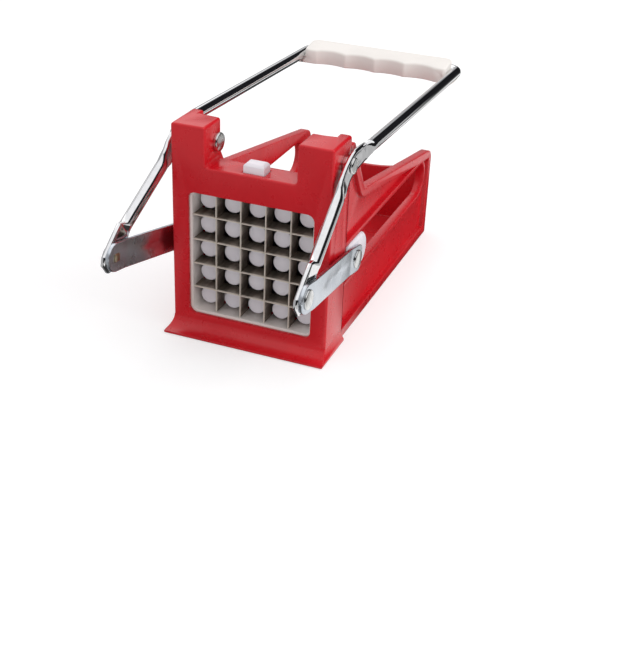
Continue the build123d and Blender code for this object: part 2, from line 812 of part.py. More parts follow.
# ---- links, set in between the crank pins and the sliders, and the rivets that they carry ----
along_link = (cos(radians(link_angle)), sin(radians(link_angle)))
paddle_half = paddle_thickness / 2
for name, side in sides.items():
    # the left link lies inside its arm, the right one outside
    beside = -1 if name == "left" else 1
    crank_middle = crank_planes[name] + beside * (paddle_half + plate_side + link_thickness / 2)
    slider_face_x = side * link_slider_face
    near = crank_middle - link_thickness / 2
    with BuildPart() as link:
        end = link_width / 2 + 1
        rest = link_length - link_flat
        slope_plane = Plane(
            origin=(0, crank_y + along_link[1] * end, crank_z - along_link[0] * end),
            x_dir=(0, *along_link),
            z_dir=(0, -along_link[1], along_link[0]),
        )
        with BuildSketch(slope_plane):
            inner_line = [
                (-end, near),
                (link_flat, near),
                (rest, link_slider_face),
                (link_length + end, link_slider_face),
            ]
            outer_line = [(a, x + link_thickness) for a, x in reversed(inner_line)]
            Polygon(*[(a, -side * x) for a, x in inner_line + outer_line], align=None)
        extrude(amount=2 * end)
        with BuildSketch(along_x(0, crank_y, crank_z)):
            with Locations(Location((0, 0, 0), (0, 0, link_angle))):
                with Locations((link_length / 2, 0)):
                    SlotCenterToCenter(link_length, link_width)
            Circle(rivet_diameter / 2 + running, mode=Mode.SUBTRACT)
            with Locations((slider_y - crank_y, slot_z - crank_z)):
                Circle(rivet_diameter / 2 + running / 2, mode=Mode.SUBTRACT)
        extrude(amount=side * (crank_middle + half), mode=Mode.INTERSECT)
        # pressed rib along the slope
        with BuildSketch(slope_plane.offset(end - link_rib_width / 2)):
            slope = (link_slider_face - near) / (rest - link_flat)
            rib_ends = [link_flat + link_rib_width, rest - link_rib_width]
            skin = [near + link_thickness + slope * (a - link_flat) for a in rib_ends]
            Polygon(
                (rib_ends[0], -side * (skin[0] - link_rib)),
                (rib_ends[0] + link_rib, -side * (skin[0] + link_rib)),
                (rib_ends[1] - link_rib, -side * (skin[1] + link_rib)),
                (rib_ends[1], -side * (skin[1] - link_rib)),
                align=None,
            )
        extrude(amount=link_rib_width)
    save(link.part, f"link_{name}")

    with BuildPart() as slider_rivet:
        with BuildSketch(along_x(slider_face_x, slider_y, slot_z)):
            Circle(rivet_diameter / 2)
        extrude(amount=side * link_thickness)
        outside = slider_face_x + side * link_thickness
        head = Plane(origin=(outside, slider_y, slot_z), x_dir=(0, 1, 0), z_dir=(side, 0, 0))
        add(domed_head(head, rivet_head / 2, rivet_head_height))
    save(slider_rivet.part, f"slider_rivet_{name}")

    # rivet between the arm's flat and the link, headed on both faces
    inside = min(near, crank_planes[name] - paddle_half)
    outside = max(near + link_thickness, crank_planes[name] + paddle_half)
    with BuildPart() as crank_rivet:
        with BuildSketch(along_x(side * inside, crank_y, crank_z)):
            Circle(rivet_diameter / 2)
        extrude(amount=side * (outside - inside))
        for face, way, share in ((inside, -side, rivet_tail), (outside, side, 1)):
            head = Plane(origin=(side * face, crank_y, crank_z), x_dir=(0, 1, 0), z_dir=(way, 0, 0))
            add(domed_head(head, share * rivet_head / 2, share**3 * rivet_head_height))
    save(crank_rivet.part, f"crank_rivet_{name}")

    # bolt through the ear, its spacer, and the arm's flat
    ear_inner = half - ear_width
    arm_outer = arm_plane + paddle_half + plate_side
    with BuildPart() as pivot_bolt:
        with BuildSketch(along_x(side * ear_inner, pivot_y, pivot_z)):
            Circle(bolt_diameter / 2)
        extrude(amount=side * (arm_outer - ear_inner))
        head = Plane(origin=(side * ear_inner, pivot_y, pivot_z), x_dir=(0, 1, 0), z_dir=(-side, 0, 0))
        add(domed_head(head, bolt_head / 2, bolt_head_height))
        head = Plane(origin=(side * arm_outer, pivot_y, pivot_z), x_dir=(0, 1, 0), z_dir=(side, 0, 0))
        add(domed_head(head, rivet_head / 2, rivet_head_height))
    save(pivot_bolt.part, f"pivot_bolt_{name}")

    with BuildPart() as pivot_spacer:
        with BuildSketch(along_x(side * half, pivot_y, pivot_z)):
            Circle(bolt_diameter / 2 + spacer_wall)
            Circle(bolt_diameter / 2 + running, mode=Mode.SUBTRACT)
        extrude(amount=side * (arm_gap - plate_side))
    save(pivot_spacer.part, f"pivot_spacer_{name}")
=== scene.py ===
from math import cos, pi, radians, sin

import bmesh
import bpy
from mathutils import Matrix, Vector
from mathutils.bvhtree import BVHTree


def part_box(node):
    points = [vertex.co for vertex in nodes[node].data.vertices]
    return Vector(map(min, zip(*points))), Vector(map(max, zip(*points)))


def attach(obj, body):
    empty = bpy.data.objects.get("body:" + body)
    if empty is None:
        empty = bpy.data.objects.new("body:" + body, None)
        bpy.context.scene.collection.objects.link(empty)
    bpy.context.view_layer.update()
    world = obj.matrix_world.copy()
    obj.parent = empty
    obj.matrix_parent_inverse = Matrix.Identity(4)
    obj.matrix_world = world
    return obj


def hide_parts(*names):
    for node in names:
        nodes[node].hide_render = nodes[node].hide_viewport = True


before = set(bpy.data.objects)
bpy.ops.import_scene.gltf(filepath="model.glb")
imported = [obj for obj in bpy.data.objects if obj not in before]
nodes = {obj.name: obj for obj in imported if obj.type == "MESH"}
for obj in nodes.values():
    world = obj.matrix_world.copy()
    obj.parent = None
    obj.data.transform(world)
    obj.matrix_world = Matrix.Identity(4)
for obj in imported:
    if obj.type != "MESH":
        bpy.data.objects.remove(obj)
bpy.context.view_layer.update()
mm = 0.001
sides = {"left": -1, "right": 1}
print("frame loaded,", len(nodes), "nodes")


def middleOf(node):
    low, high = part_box(node)
    return (Vector(low) + Vector(high)) / 2


# the output of a shader node, which adds and multiplies like a number
class Wire:
    def __init__(self, finish, socket):
        self.finish = finish
        self.socket = socket

    def math(self, operation, *values):
        return self.finish.node("Math", {"operation": operation}, dict(enumerate(values)))

    def __add__(self, other):
        return self.math("ADD", self, other)

    def __radd__(self, other):
        return self.math("ADD", other, self)

    def __sub__(self, other):
        return self.math("SUBTRACT", self, other)

    def __rsub__(self, other):
        return self.math("SUBTRACT", other, self)

    def __mul__(self, other):
        return self.math("MULTIPLY", self, other)

    def __rmul__(self, other):
        return self.math("MULTIPLY", other, self)

    def ramp(self, low, high):
        # 0 below low, 1 above high, smooth between them
        settings = {"interpolation_type": "SMOOTHSTEP"}
        sockets = {"Value": self, "From Min": low, "From Max": high}
        return self.finish.node("MapRange", settings, sockets)


# a node tree and the few kinds of node that the finishes are made of
class Finish:
    def __init__(self, tree):
        self.tree = tree

    def node(self, kind, settings=None, sockets=None, output=0):
        made = self.tree.nodes.new("ShaderNode" + kind)
        for name, value in (settings or {}).items():
            setattr(made, name, value)
        for name, value in (sockets or {}).items():
            if isinstance(value, Wire):
                self.tree.links.new(value.socket, made.inputs[name])
            else:
                made.inputs[name].default_value = value
        return Wire(self, made.outputs[output])

    def blend(self, share, first, second):
        # sockets 6 and 7 are the Mix node's two colours, and output 2 the mixed one
        settings = {"data_type": "RGBA"}
        return self.node("Mix", settings, {0: share, 6: first, 7: second}, output=2)

    def place(self):
        return self.node("TexCoord", output="Object")

    def along(self, axis):
        return self.node("SeparateXYZ", None, {0: self.place()}, output=axis)

    def noise(self, scale, detail=2.0, stretch=(1, 1, 1)):
        where = self.node("Mapping", None, {"Vector": self.place(), "Scale": stretch})
        return self.node("TexNoise", None, {"Vector": where, "Scale": scale, "Detail": detail})


def newFinish(name, constants=None):
    material = bpy.data.materials.new(name)
    material.use_nodes = True
    shader = material.node_tree.nodes["Principled BSDF"]
    for socket, value in (constants or {}).items():
        shader.inputs[socket].default_value = value
    return material, Finish(material.node_tree), shader


def connect(finish, shader, **wires):
    # an underscore in a name stands for the space in the socket's
    for socket, wire in wires.items():
        finish.tree.links.new(wire.socket, shader.inputs[socket.replace("_", " ")])


plastic = {
    "driftScale": 28,
    "driftFrom": (0.3, 0.7),
    "speckScale": 700,
    "speckFrom": (0.78, 0.84),
    "speckColour": (0.9, 0.75, 0.75, 1),
    "skinScale": 900,
    "skinShare": 0.6,
    "hazeScale": 120,
    "hazeRough": 0.08,
    "bump": 0.04,
    "bumpDistance": 0.6 * mm,
}


def mouldedPlastic(name, deep, light, rough, speck=0.0):
    # moulded plastic: slow colour drift, a fine orange-peel skin and a few pale specks
    material, finish, shader = newFinish(name)
    drift = finish.noise(plastic["driftScale"], detail=3.0)
    colour = finish.blend(drift.ramp(*plastic["driftFrom"]), (*deep, 1), (*light, 1))
    if speck:
        dots = finish.noise(plastic["speckScale"], detail=1.0).ramp(*plastic["speckFrom"])
        colour = finish.blend(dots * speck, colour, plastic["speckColour"])
    skin = finish.noise(plastic["skinScale"])
    haze = finish.noise(plastic["hazeScale"], detail=4.0)
    height = skin * plastic["skinShare"] + haze * (1 - plastic["skinShare"])
    relief = {"Strength": plastic["bump"], "Distance": plastic["bumpDistance"], "Height": height}
    normal = finish.node("Bump", None, relief)
    roughness = rough + plastic["hazeRough"] * (haze - 0.5)
    connect(finish, shader, Base_Color=colour, Roughness=roughness, Normal=normal)
    return material


steel = {
    "grainScale": 400,
    "grainFrom": (0.3, 0.7),
    "cloudScale": 60,
    "cloudFrom": (0.35, 0.75),
    "bumpDistance": 0.3 * mm,
    # the painted highlight on a blade's lit front edge: its blur, its pale colour and its lower metallic
    "highlightBlur": 0.2 * mm,
    "highlightColour": (0.76, 0.69, 0.60, 1),
    "bladeMetallic": 0.8,
    "highlightMetallic": 0.25,
}


def metal(name, dark, light, rough, grain=(1, 1, 1), bump=0.03, wear=0.1, highlightEdge=None):
    # bare metal: tone and roughness drift along its grain; in front of the given edge in Y it gets a
    # painted highlight, paler and less metallic, that stands in for a blade's lit front edge
    material, finish, shader = newFinish(name, {"Metallic": 1.0})
    streak = finish.noise(steel["grainScale"], detail=3.0, stretch=grain)
    cloud = finish.noise(steel["cloudScale"], detail=3.0)
    colour = finish.blend(streak.ramp(*steel["grainFrom"]), (*dark, 1), (*light, 1))
    # painted highlight: the blade's lit front edge is painted pale and less metallic in front of the
    # given edge
    if highlightEdge is not None:
        blur = steel["highlightBlur"]
        paintedHighlight = 1 - finish.along("Y").ramp(highlightEdge - blur, highlightEdge + blur)
        colour = finish.blend(paintedHighlight, colour, steel["highlightColour"])
        loss = steel["bladeMetallic"] - steel["highlightMetallic"]
        connect(finish, shader, Metallic=steel["bladeMetallic"] - loss * paintedHighlight)
    relief = {"Strength": bump, "Distance": steel["bumpDistance"], "Height": streak}
    normal = finish.node("Bump", None, relief)
    roughness = rough + wear * (cloud.ramp(*steel["cloudFrom"]) + 0.5 * streak - 0.5)
    connect(finish, shader, Base_Color=colour, Roughness=roughness, Normal=normal)
    return material


# each finish drifts between two colours and has a roughness of its own
redPlastic = mouldedPlastic(
    "redPlastic", (0.55, 0.006, 0.013), (0.62, 0.008, 0.016), 0.28, speck=0.25
)
creamPlastic = mouldedPlastic("creamPlastic", (0.76, 0.70, 0.66), (0.82, 0.77, 0.74), 0.38)
whitePlastic = mouldedPlastic("whitePlastic", (0.80, 0.76, 0.81), (0.87, 0.83, 0.87), 0.34)
gripPlastic = mouldedPlastic("gripPlastic", (0.80, 0.76, 0.72), (0.85, 0.81, 0.77), 0.40)
# the blades get a painted highlight along their lit front edges
bladeSteel = metal(
    "bladeSteel", (0.30, 0.25, 0.20), (0.44, 0.38, 0.32), 0.34, grain=(1, 0.1, 1), highlightEdge=5.7 * mm
)
satinSteel = metal(
    "satinSteel", (0.60, 0.64, 0.70), (0.68, 0.72, 0.77), 0.26, grain=(1, 0.3, 0.3), wear=0.05
)
brightSteel = metal("brightSteel", (0.66, 0.66, 0.65), (0.78, 0.78, 0.77), 0.20)
brassTail = metal("brassTail", (0.42, 0.34, 0.22), (0.60, 0.50, 0.34), 0.30)
chromeSteel = metal(
    "chromeSteel", (0.80, 0.80, 0.81), (0.86, 0.86, 0.87), 0.06, bump=0.006, wear=0.04
)
print("finishes made")


def finishPiece(bm, name, body, material, replaced=(), smoothBelow=32):
    mesh = bpy.data.meshes.new(name)
    bm.to_mesh(mesh)
    bm.free()
    mesh.materials.append(material)
    mesh.shade_smooth()
    mesh.set_sharp_from_angle(angle=radians(smoothBelow))
    piece = bpy.data.objects.new(name, mesh)
    bpy.context.scene.collection.objects.link(piece)
    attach(piece, body)
    if replaced:
        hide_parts(*replaced)
    return piece


softening = {
    "merge": 0.02 * mm,
    "flat": radians(0.6),  # faces that turn less than this are joined
    "sharp": radians(28),  # edges that turn more than this are rounded
    "segments": 2,
    "stray": 0.45,  # share of the radius that a vertex may leave the surface by
}
softPieces = {
    # body, slot, material and edge radius in mm
    "body": ("base", "red_plastic", redPlastic, 0.5),
    "blade_frame": ("base", "cream_plastic", creamPlastic, 0.25),
    "cartridge_latch": ("latch", "white_plastic", whitePlastic, 0.35),
    "push_plate": ("pusher", "white_plastic", whitePlastic, 0.5),
    "pusher_carriage": ("pusher", "red_plastic", redPlastic, 0.35),
    "slider_wing_left": ("pusher", "white_plastic", whitePlastic, 0.4),
    "slider_wing_right": ("pusher", "white_plastic", whitePlastic, 0.4),
    "plate_lock": ("lock", "white_plastic", whitePlastic, 0.4),
    "handle_grip": ("handle", "grip_plastic", gripPlastic, 1.3),
}
# the flare of the foot has tiny steps at its corners, where a bevel would spike
flareSteps = {
    "low": (44 * mm, 0, 0),
    "high": (60 * mm, 2.5 * mm, 9 * mm),
    "distance": 0.45 * mm,
}


def mergeTiny(bm, low, high, distance):
    # joins close vertices inside a box and its mirror image
    near = [v for v in bm.verts if all(low[i] <= abs(v.co[i]) <= high[i] for i in range(3))]
    bmesh.ops.remove_doubles(bm, verts=near, dist=distance)


def softened(node, body, material, radius):
    # a merged copy of a node with every sharp edge rounded as a mould leaves it
    bm = bmesh.new()
    bm.from_mesh(nodes[node].data)
    bmesh.ops.remove_doubles(bm, verts=bm.verts, dist=softening["merge"])
    if node == "body":
        mergeTiny(bm, **flareSteps)
    bmesh.ops.dissolve_limit(bm, angle_limit=softening["flat"], verts=bm.verts, edges=bm.edges)
    sharp = [e for e in bm.edges if e.is_manifold and e.calc_face_angle() > softening["sharp"]]
    surface = BVHTree.FromBMesh(bm)
    bmesh.ops.bevel(
        bm,
        geom=sharp,
        offset=radius,
        offset_type="OFFSET",
        segments=softening["segments"],
        profile=0.5,
        affect="EDGES",
        clamp_overlap=False,
        material=-1,
    )
    # a corner that the bevel threw off the surface comes back to it
    for vert in bm.verts:
        spot, _, _, away = surface.find_nearest(vert.co)
        if away > softening["stray"] * radius:
            vert.co = spot
    finishPiece(bm, node + "_moulding", body, material, [node])


for node, (body, slot, material, radius) in softPieces.items():
    softened(node, body, material, radius * mm)
print("mouldings softened")


# skins are drawn ring by ring; the shares place a ring's points across a flat face
ringPoints = 32
halfRing = ringPoints // 2
quarterRing = ringPoints // 4
faceShares = (0.0, 0.35, 0.70, 0.93)
grooveShares = (0.0, 0.14, 0.30, 0.95)


def ringPoint(number, thick, wide, roll, flat, dish, groove, shares):
    # one point of a section: a circle when flat is 0, a strip with rolled edges when it is 1
    near = min(number % halfRing, halfRing - number % halfRing)
    signThick = 1 if number <= quarterRing or number >= ringPoints - quarterRing else -1
    signWide = 1 if number < halfRing else -1
    turn = near * 2 * pi / ringPoints
    roundU, roundV = thick * cos(turn), wide * sin(turn)
    if near < len(shares):
        flatU, flatV = thick - dish, shares[near] * (wide - roll)
        if near < 2 and signThick > 0:
            flatU -= groove
    elif near < quarterRing:
        turn = (near - len(shares)) * pi / 2 / (quarterRing - len(shares) - 1)
        flatU, flatV = thick - roll + roll * cos(turn), wide - roll + roll * sin(turn)
    else:
        flatU, flatV = 0, wide
    u = roundU + (flatU - roundU) * flat
    v = roundV + (flatV - roundV) * flat
    return signThick * u, signWide * v


def skin(stations, shares=faceShares):
    # a closed skin through sections; each is a place, its way, its up and the section's sizes
    bm = bmesh.new()
    made = bmesh.ops.create_circle(bm, segments=ringPoints, radius=1)
    ring = list(made["verts"])
    for number, (place, way, up, section) in enumerate(stations):
        if number:
            edges = [bm.edges.get((ring[i - 1], ring[i])) for i in range(ringPoints)]
            grown = bmesh.ops.extrude_edge_only(bm, edges=edges)
            fresh = {v for v in grown["geom"] if isinstance(v, bmesh.types.BMVert)}
            ring = [next(e.other_vert(v) for e in v.link_edges if e.other_vert(v) in fresh) for v in ring]
        across = way.cross(up)
        for i, vert in enumerate(ring):
            u, v = ringPoint(i, *section, shares)
            vert.co = (place + across * u + up * v) * mm
    ends = [e for e in bm.edges if e.is_boundary]
    bmesh.ops.holes_fill(bm, edges=ends, sides=0)
    bmesh.ops.recalc_face_normals(bm, faces=bm.faces)
    return bm


boring = {"segments": 32, "length": 12.0}


def bored(piece, x, place, radius):
    # a round hole along X through a finished piece; all sizes in mm
    bm = bmesh.new()
    spot = Matrix.Translation(Vector((x, place.y, place.z)) * mm) @ Matrix.Rotation(pi / 2, 4, "Y")
    bmesh.ops.create_cone(
        bm,
        cap_ends=True,
        segments=boring["segments"],
        radius1=radius * mm,
        radius2=radius * mm,
        depth=boring["length"] * mm,
        matrix=spot,
    )
    mesh = bpy.data.meshes.new("drill")
    bm.to_mesh(mesh)
    bm.free()
    drill = bpy.data.objects.new("drill", mesh)
    bpy.context.scene.collection.objects.link(drill)
    cut = piece.modifiers.new("bore", "BOOLEAN")
    cut.operation = "DIFFERENCE"
    cut.solver = "EXACT"
    cut.object = drill
    bpy.context.view_layer.update()
    result = bpy.data.meshes.new_from_object(piece.evaluated_get(bpy.context.evaluated_depsgraph_get()))
    piece.modifiers.clear()
    old = piece.data
    piece.data = result
    result.name = old.name
    bpy.data.meshes.remove(old)
    bpy.data.objects.remove(drill)
    bpy.data.meshes.remove(mesh)


# in mm; thicknesses and widths are halves, and a roll is the radius of a rolled edge
handleTube = {
    "radius": 3.3,
    "offset": 2.2,  # from the flats' plane out to the round tube's middle
    "aboveBolt": 3.8,
    "slope": radians(-2.0),
    "rear": 215.0,
    "corner": 8.0,
    "cornerSteps": 8,
    "upperShares": (0.6, 0.3),  # rings along the round upper arm
    "upperEnd": 4.0,  # and one this far before its shoulder
    "flatX": 49.7,
    "crankX": {"left": 56.5, "right": 49.7},
    "flatThick": 1.4,
    "flatRoll": 1.25,
    "dish": 0.30,
    "shoulder": 3.6,
    "crimpShares": (0.15, 0.35, 0.55, 0.75, 0.9),  # rings down a shoulder
    "crimpRoll": 0.9,  # share of the thickness there
    "pivotWide": 5.1,
    "pivotDrop": 3.0,
    "pivotFlat": 13.0,  # the pivot's flat ends this far below the bolt
    # edges of that flat, upper then lower, in Y and Z
    "pivotEdges": [
        ((35.0, 115.2), (35.0, 104.9)),
        ((28.0, 115.8), (28.0, 104.4)),
        ((21.5, 116.0), (21.8, 103.9)),
        ((16.5, 115.5), (18.0, 103.2)),
        ((11.4, 114.0), (14.8, 102.5)),
        ((6.8, 111.9), (12.2, 101.4)),
        ((3.0, 109.3), (10.2, 99.7)),
        ((0.3, 106.4), (8.4, 97.5)),
    ],
    # below it: distance past it, thickness, width, roll, flatness and dish
    "knee": [(3.5, 2.0, 5.4, 1.8, 0.85, 0.30), (6.5, 3.0, 4.0, 2.6, 0.4, 0)],
    "lowerWide": 3.7,
    "lowerStart": (9.0, 20.0),  # rings this far past the pivot's flat
    "lowerEnd": 6.0,  # and one this far before the crank's shoulder
    "crankFlat": 16.0,  # the flat starts this far before the crank pin
    "crankWide": 6.6,
    # the rest of it: distance before the pin and width, then its tip with the sizes as for the knee
    "paddle": [(10.0, 6.8), (2.0, 6.8), (-4.2, 6.7), (-4.8, 6.5), (-8.0, 4.0)],
    "tip": (-8.4, 0.8, 3.4, 0.7, 1, 0.15),
    "boltBore": 2.55,
    "rivetBore": 2.32,
}
pivot = middleOf("pivot_spacer_right") / mm
cranks = {name: middleOf("crank_rivet_" + name) / mm for name in sides}
sliders = {name: middleOf("slider_rivet_" + name) / mm for name in sides}
armWay = Vector((0, cos(handleTube["slope"]), sin(handleTube["slope"])))
armUp = Vector((0, -armWay.z, armWay.y))
tubeX = handleTube["flatX"] + handleTube["offset"]


def armPoint(distance, x):
    return Vector((x, pivot.y, pivot.z + handleTube["aboveBolt"])) + armWay * distance


def crimpSection(share, wideFrom, wideTo):
    # the section part way down a shoulder, from round to flat
    radius = handleTube["radius"]
    flat = share * share * (3 - 2 * share)
    thick = radius + (handleTube["flatThick"] - radius) * flat
    wide = wideFrom + (wideTo - wideFrom) * share
    return thick, wide, thick * handleTube["crimpRoll"], flat, handleTube["dish"] * flat


def upperArm():
    # from the rear corner of the U down the pivot's shoulder
    tube = handleTube
    radius, corner = tube["radius"], tube["corner"]
    roundSection = (radius, radius, radius, 0, 0, 0)
    full = (tube["rear"] - pivot.y) / armWay.y
    stations = []
    for step in range(tube["cornerSteps"] + 1):
        turn = step * pi / 2 / tube["cornerSteps"]
        place = armPoint(full - corner + corner * cos(turn), tubeX - corner + corner * sin(turn))
        way = Vector((cos(turn), 0, 0)) - armWay * sin(turn)
        stations.append((place, way, armUp, roundSection))
    flatStart = tube["pivotEdges"][0][0][0]
    shoulderTop = (flatStart - pivot.y) / armWay.y + tube["shoulder"]
    reaches = [full * share for share in tube["upperShares"]]
    for reach in (*reaches, shoulderTop + tube["upperEnd"], shoulderTop):
        stations.append((armPoint(reach, tubeX), -armWay, armUp, roundSection))
    for share in tube["crimpShares"]:
        thick, wide, roll, flat, dish = crimpSection(share, radius, tube["pivotWide"])
        place = armPoint(shoulderTop - tube["shoulder"] * share, tubeX - tube["offset"] * flat)
        place -= armUp * tube["pivotDrop"] * flat
        stations.append((place, -armWay, armUp, (thick, wide, roll, flat, dish, 0)))
    return stations


def pivotFlat():
    # round the bolt, where the upper arm bends into the lower one
    tube = handleTube
    stations = []
    for upper, lower in tube["pivotEdges"]:
        top, bottom = Vector((tube["flatX"], *upper)), Vector((tube["flatX"], *lower))
        up = (top - bottom).normalized()
        way = Vector((0, up.z, -up.y))
        way = way if way.y < 0 else -way
        wide = (top - bottom).length / 2
        section = (tube["flatThick"], wide, tube["flatRoll"], 1, tube["dish"], 0)
        stations.append(((top + bottom) / 2, way, up, section))
    return stations


def lowerArm(name):
    # from the pivot's flat down to the tip past the crank pin
    tube = handleTube
    crank = cranks[name]
    down = Vector((0, crank.y - pivot.y, crank.z - pivot.z))
    knee = down.length - tube["pivotFlat"]
    down.normalize()
    up = Vector((0, down.z, -down.y))
    stations = []

    def lower(distance, thick, wide, roll, flat, dish):
        share = min(max((distance - tube["crankFlat"]) / (knee - tube["crankFlat"]), 0), 1)
        x = tube["crankX"][name] + (tube["flatX"] - tube["crankX"][name]) * share
        place = Vector((x, crank.y, crank.z)) - down * distance
        stations.append((place, down, up, (thick, wide, roll, flat, dish, 0)))

    for past, *section in tube["knee"]:
        lower(knee - past, *section)
    shoulderTop = tube["crankFlat"] + tube["shoulder"]
    distances = [knee - past for past in tube["lowerStart"]]
    for distance in (*distances, shoulderTop + tube["lowerEnd"], shoulderTop):
        lower(distance, tube["radius"], tube["lowerWide"], tube["radius"], 0, 0)
    for share in tube["crimpShares"]:
        section = crimpSection(share, tube["lowerWide"], tube["crankWide"])
        lower(shoulderTop - tube["shoulder"] * share, *section)
    paddle = [(tube["crankFlat"], tube["crankWide"]), *tube["paddle"]]
    for distance, wide in paddle:
        lower(distance, tube["flatThick"], wide, tube["flatRoll"], 1, tube["dish"])
    lower(*tube["tip"])
    return stations


def armStations(name):
    # a whole arm from the back to its tip, turned over for the left side
    mirror = Matrix.Scale(sides[name], 3, (1, 0, 0))
    stations = upperArm() + pivotFlat() + lowerArm(name)
    return [(mirror @ place, (mirror @ way).normalized(), up, size) for place, way, up, size in stations]


# one skin from the left crank pin, round the back, to the right one
leftArm = [(place, -way, up, section) for place, way, up, section in reversed(armStations("left"))]
tubePiece = finishPiece(
    skin(leftArm + armStations("right")),
    "handle_tube_chrome",
    "handle",
    chromeSteel,
    ["handle_tube"],
    smoothBelow=50,
)
print("handle tube drawn")


# in mm; thickness and width are halves
link = {
    "thick": 1.0,
    "wide": 7.8,
    "roll": 0.45,
    "rollShare": 0.8,  # a roll takes at most this share of a ring's half width
    "flatEnd": 10.5,  # flat this far from each pin, slanted between
    "bend": 1.5,
    "sliderX": 47.7,
    "crankX": {"left": 54.0, "right": 52.2},
    "grooveFrom": {"left": 30.0, "right": 29.0},
    "grooveTo": 58.0,
    "groove": 0.5,
    "grooveRun": 2.4,  # length over which the groove sinks in
    "frontTurns": (12, 28, 45, 65, 90),
    "plainFront": 20.0,  # a ring before the groove
    "plainMiddle": (40.0, 50.0),  # and two inside it
    "rearCorner": 5.0,
    "rearTurns": (0, 25, 50, 72, 90),
}


def linkStations(name):
    # from the round end at the crank pin to the square end at the slider
    crank, slider = cranks[name], sliders[name]
    along = Vector((0, slider.y - crank.y, slider.z - crank.z))
    length = along.length
    along.normalize()
    up = Vector((0, -along.z, along.y))
    wide, corner = link["wide"], link["rearCorner"]
    flatEnd, flatRear = link["flatEnd"], length - link["flatEnd"]
    grooveFrom, grooveTo, run = link["grooveFrom"][name], link["grooveTo"], link["grooveRun"]
    bends = (-link["bend"], 0, link["bend"])
    straight = [flatEnd + bend for bend in bends]
    straight += [link["plainFront"]]
    straight += [grooveFrom + part * run for part in (0, 0.5, 1)]
    straight += link["plainMiddle"]
    straight += [grooveTo - part * run for part in (1, 0.5, 0)]
    straight += [flatRear + bend for bend in bends]
    places = [(-wide * cos(radians(turn)), wide * sin(radians(turn))) for turn in link["frontTurns"]]
    places += [(distance, wide) for distance in straight]
    for turn in link["rearTurns"]:
        reach = length + wide - corner + corner * sin(radians(turn))
        places.append((reach, wide - corner + corner * cos(radians(turn))))
    stations = []
    for distance, half in places:
        share = min(max((distance - flatEnd) / (flatRear - flatEnd), 0), 1)
        x = link["crankX"][name] + (link["sliderX"] - link["crankX"][name]) * share
        place = Vector((sides[name] * x, crank.y, crank.z)) + along * distance
        inside = min(distance - grooveFrom, grooveTo - distance) / run
        groove = link["groove"] * min(max(inside, 0), 1)
        roll = min(link["roll"], half * link["rollShare"])
        # both links have their groove on the face that looks to the right
        stations.append((place, along, up, (link["thick"], half, roll, 1, 0, groove)))
    return stations


for name, side in sides.items():
    plate = finishPiece(
        skin(linkStations(name), grooveShares),
        "link_" + name + "_plate",
        "link_body_" + name,
        satinSteel,
        ["link_" + name],
        smoothBelow=40,
    )
    bored(plate, cranks[name].x, cranks[name], handleTube["rivetBore"])
    bored(tubePiece, cranks[name].x, cranks[name], handleTube["rivetBore"])
    bored(tubePiece, side * handleTube["flatX"], pivot, handleTube["boltBore"])
print("links drawn")


# in mm
fasteners = {
    # heads: radius, height, rim, rounding of the shoulder
    "earHead": (5.25, 3.0, 1.0, 0.55),
    "boltHead": (4.4, 1.9, 0.6, 1.1),
    "crankHead": (5.2, 1.35, 0.35, 0.55),
    "sliderHead": (5.3, 1.35, 0.35, 0.55),
    "lip": (0.1, 0.15),  # height and width of the edge under a head
    "shoulderTurns": (22, 45, 68, 90),
    "shoulderRise": 0.62,  # share of a dome's rise that its shoulder takes
    "crownShares": (0.7, 0.4, 0),
    "boltShank": 2.5,
    "rivetShank": 2.3,
    "earFace": 26.0,
    "boltGap": 0.05,
    "sliderSunk": 1.4,
    "merge": 0.001,
    "steps": 40,
}
# the tail tapers from one radius to the other
rivetTail = {
    "radii": (3.3, 2.7),
    "thick": 0.8,
    "turn": radians(38),
    "edge": 0.28,
}


def turned(node, body, side, place, profile):
    # spins (x, radius) pairs round an axis along X; the profile starts and ends on the axis
    bm = bmesh.new()
    verts = [bm.verts.new(Vector((side * x, place.y, place.z + radius)) * mm) for x, radius in profile]
    edges = [bm.edges.new(pair) for pair in zip(verts, verts[1:])]
    bmesh.ops.spin(
        bm,
        geom=verts + edges,
        cent=Vector((0, place.y, place.z)) * mm,
        axis=(1, 0, 0),
        angle=2 * pi,
        steps=fasteners["steps"],
        use_merge=True,
    )
    bmesh.ops.remove_doubles(bm, verts=bm.verts, dist=fasteners["merge"] * mm)
    bmesh.ops.recalc_face_normals(bm, faces=bm.faces)
    finishPiece(bm, node + "_turned", body, brightSteel, [node], smoothBelow=40)


def dome(x, way, radius, height, rim, shoulder):
    # from the rim to the middle of a low head with a rounded shoulder
    lipHeight, lipWidth = fasteners["lip"]
    rise, shoulderRise = height - rim, fasteners["shoulderRise"]
    points = [(x, radius - lipWidth), (x + way * lipHeight, radius), (x + way * rim, radius)]
    for turn in fasteners["shoulderTurns"]:
        lift = rim + shoulderRise * rise * sin(radians(turn))
        points.append((x + way * lift, radius - shoulder * (1 - cos(radians(turn)))))
    for share in fasteners["crownShares"]:
        lift = height - (1 - shoulderRise) * rise * share**2
        points.append((x + way * lift, share * (radius - shoulder)))
    return points


def peenedTail(name, side, inner):
    # the inner end of a crank rivet, peened into a rough square
    bm = bmesh.new()
    spot = Vector((side * (inner - rivetTail["thick"] / 2), cranks[name].y, cranks[name].z)) * mm
    turn = Matrix.Rotation(-side * pi / 2, 4, "Y") @ Matrix.Rotation(rivetTail["turn"], 4, "Z")
    bmesh.ops.create_cone(
        bm,
        cap_ends=True,
        segments=4,
        radius1=rivetTail["radii"][0] * mm,
        radius2=rivetTail["radii"][1] * mm,
        depth=rivetTail["thick"] * mm,
        matrix=Matrix.Translation(spot) @ turn,
    )
    bmesh.ops.bevel(
        bm,
        geom=bm.edges[:],
        offset=rivetTail["edge"] * mm,
        offset_type="OFFSET",
        segments=2,
        profile=0.5,
        affect="EDGES",
        clamp_overlap=True,
        material=-1,
    )
    finishPiece(bm, "crank_rivet_" + name + "_tail", "handle", brassTail)


